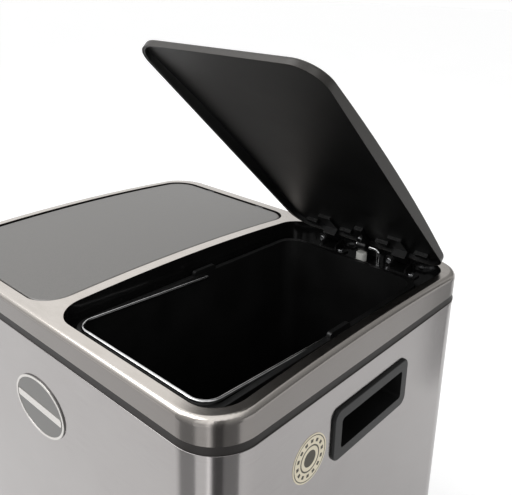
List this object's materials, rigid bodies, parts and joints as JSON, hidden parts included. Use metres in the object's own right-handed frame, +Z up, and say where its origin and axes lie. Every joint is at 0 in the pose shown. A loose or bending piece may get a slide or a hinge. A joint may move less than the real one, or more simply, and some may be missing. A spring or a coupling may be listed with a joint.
{
  "type": "two-compartment pedal bin",
  "caption": "Brushed-steel pedal bin with side-by-side compartments, crowned lids, lift-out inner buckets and side grips, shown with the right lid open.",
  "frame": {"origin": "on the floor, under the middle of the whole bin with its pedals", "axes": "+X to the right seen from the front, +Y towards the back, +Z up"},
  "size_m": [0.41, 0.3669, 0.6376],
  "materials": {
    "badge_cast_metal": "satin",
    "bail_chromed_wire": "polished",
    "band_grey_plastic": "satin",
    "base_black_plastic": "satin",
    "body_brushed_steel": "brushed",
    "brackets_black_steel": "satin",
    "bucket_black_plastic": "satin",
    "bush_white_nylon": "satin",
    "damper_black_plastic": "satin",
    "feet_rubber": "matte",
    "frame_black_plastic": "satin",
    "grip_black_plastic": "satin",
    "label_printed_film": "matte",
    "lever_black_steel": "satin",
    "lid_brushed_steel": "brushed",
    "liner_black_plastic": "satin",
    "lugs_black_steel": "satin",
    "rim_brushed_steel": "brushed",
    "rod_chromed_steel": "polished",
    "screws_zinc_plated": "satin",
    "tread_rubber": "matte"
  },
  "bodies": {
    "bin": {"base_tray": "base_black_plastic", "rubber_feet": "feet_rubber", "foot_screws": "screws_zinc_plated", "body_shell": "body_brushed_steel", "neck_band": "band_grey_plastic", "top_frame": "frame_black_plastic", "steel_rim": "rim_brushed_steel", "badge": "badge_cast_metal", "round_label": "label_printed_film", "right_grip": "grip_black_plastic", "right_hinge_brackets": "brackets_black_steel", "right_hinge_pins": "screws_zinc_plated", "right_hinge_screws": "screws_zinc_plated", "right_damper_body": "damper_black_plastic", "right_rod_guide": "bush_white_nylon", "right_lever_pin": "screws_zinc_plated", "left_grip": "grip_black_plastic", "left_hinge_brackets": "brackets_black_steel", "left_hinge_pins": "screws_zinc_plated", "left_hinge_screws": "screws_zinc_plated", "left_damper_body": "damper_black_plastic", "left_rod_guide": "bush_white_nylon", "left_lever_pin": "screws_zinc_plated"},
    "right_lid": {"right_lid_shell": "lid_brushed_steel", "right_lid_liner": "liner_black_plastic", "right_lid_lugs": "lugs_black_steel", "right_rod_clip": "lugs_black_steel", "right_lid_screws": "screws_zinc_plated"},
    "right_rod": {"right_lift_rod": "rod_chromed_steel"},
    "right_plunger": {"right_damper_plunger": "bush_white_nylon"},
    "right_pedal": {"right_pedal_lever": "lever_black_steel", "right_pedal_plate": "lever_black_steel", "right_pedal_tread": "tread_rubber"},
    "right_inner_bucket": {"right_bucket": "bucket_black_plastic"},
    "left_lid": {"left_lid_shell": "lid_brushed_steel", "left_lid_liner": "liner_black_plastic", "left_lid_lugs": "lugs_black_steel", "left_rod_clip": "lugs_black_steel", "left_lid_screws": "screws_zinc_plated"},
    "left_rod": {"left_lift_rod": "rod_chromed_steel"},
    "left_plunger": {"left_damper_plunger": "bush_white_nylon"},
    "left_pedal": {"left_pedal_lever": "lever_black_steel", "left_pedal_plate": "lever_black_steel", "left_pedal_tread": "tread_rubber"},
    "left_inner_bucket": {"left_bucket": "bucket_black_plastic", "left_bail": "bail_chromed_wire"},
    "right_handle": {"right_bail": "bail_chromed_wire"}
  },
  "joints": [
    {"name": "right_lid_hinge", "type": "hinge", "parent": "bin", "child": "right_lid", "pos_m": [0.0985, 0.1716, 0.4274], "axis": [-1, 0, 0], "range_deg": [-43.1, 26.9]},
    {"name": "right_rod_slide", "type": "slide", "parent": "bin", "child": "right_rod", "axis": [0, 0, 1], "range_m": [-0.00849, 0.0053]},
    {"name": "right_plunger_slide", "type": "slide", "parent": "bin", "child": "right_plunger", "axis": [0, 0, 1], "range_m": [-0.00776, 0.00484]},
    {"name": "right_pedal_pivot", "type": "hinge", "parent": "bin", "child": "right_pedal", "pos_m": [0.1045, 0.0326, 0.016], "axis": [1, 0, 0], "range_deg": [-3.8, 2.37]},
    {"name": "left_lid_hinge", "type": "hinge", "parent": "bin", "child": "left_lid", "pos_m": [-0.0985, 0.1716, 0.4274], "axis": [-1, 0, 0], "range_deg": [0, 70]},
    {"name": "left_rod_slide", "type": "slide", "parent": "bin", "child": "left_rod", "axis": [0, 0, 1], "range_m": [0, 0.01379]},
    {"name": "left_plunger_slide", "type": "slide", "parent": "bin", "child": "left_plunger", "axis": [0, 0, 1], "range_m": [0, 0.0126]},
    {"name": "left_pedal_pivot", "type": "hinge", "parent": "bin", "child": "left_pedal", "pos_m": [-0.1045, 0.0326, 0.016], "axis": [1, 0, 0], "range_deg": [0, 6.17]},
    {"name": "right_bucket_lift", "type": "slide", "parent": "bin", "child": "right_inner_bucket", "axis": [0, 0, 1], "range_m": [0, 0.02]},
    {"name": "left_bucket_lift", "type": "slide", "parent": "bin", "child": "left_inner_bucket", "axis": [0, 0, 1], "range_m": [0, 0.002]},
    {"name": "right_bail_pivot", "type": "hinge", "parent": "right_inner_bucket", "child": "right_handle", "pos_m": [0.092, 0.0176, 0.4135], "axis": [-1, 0, 0], "range_deg": [0, 90]}
  ],
  "couplings": [
    {"joint": "right_rod_slide", "follows": "right_lid_hinge", "m_per_rad": 0.011282},
    {"joint": "right_plunger_slide", "follows": "right_lid_hinge", "m_per_rad": 0.010313},
    {"joint": "right_pedal_pivot", "follows": "right_lid_hinge", "ratio": 0.088068},
    {"joint": "left_rod_slide", "follows": "left_lid_hinge", "m_per_rad": 0.011282},
    {"joint": "left_plunger_slide", "follows": "left_lid_hinge", "m_per_rad": 0.010313},
    {"joint": "left_pedal_pivot", "follows": "left_lid_hinge", "ratio": 0.088068}
  ]
}
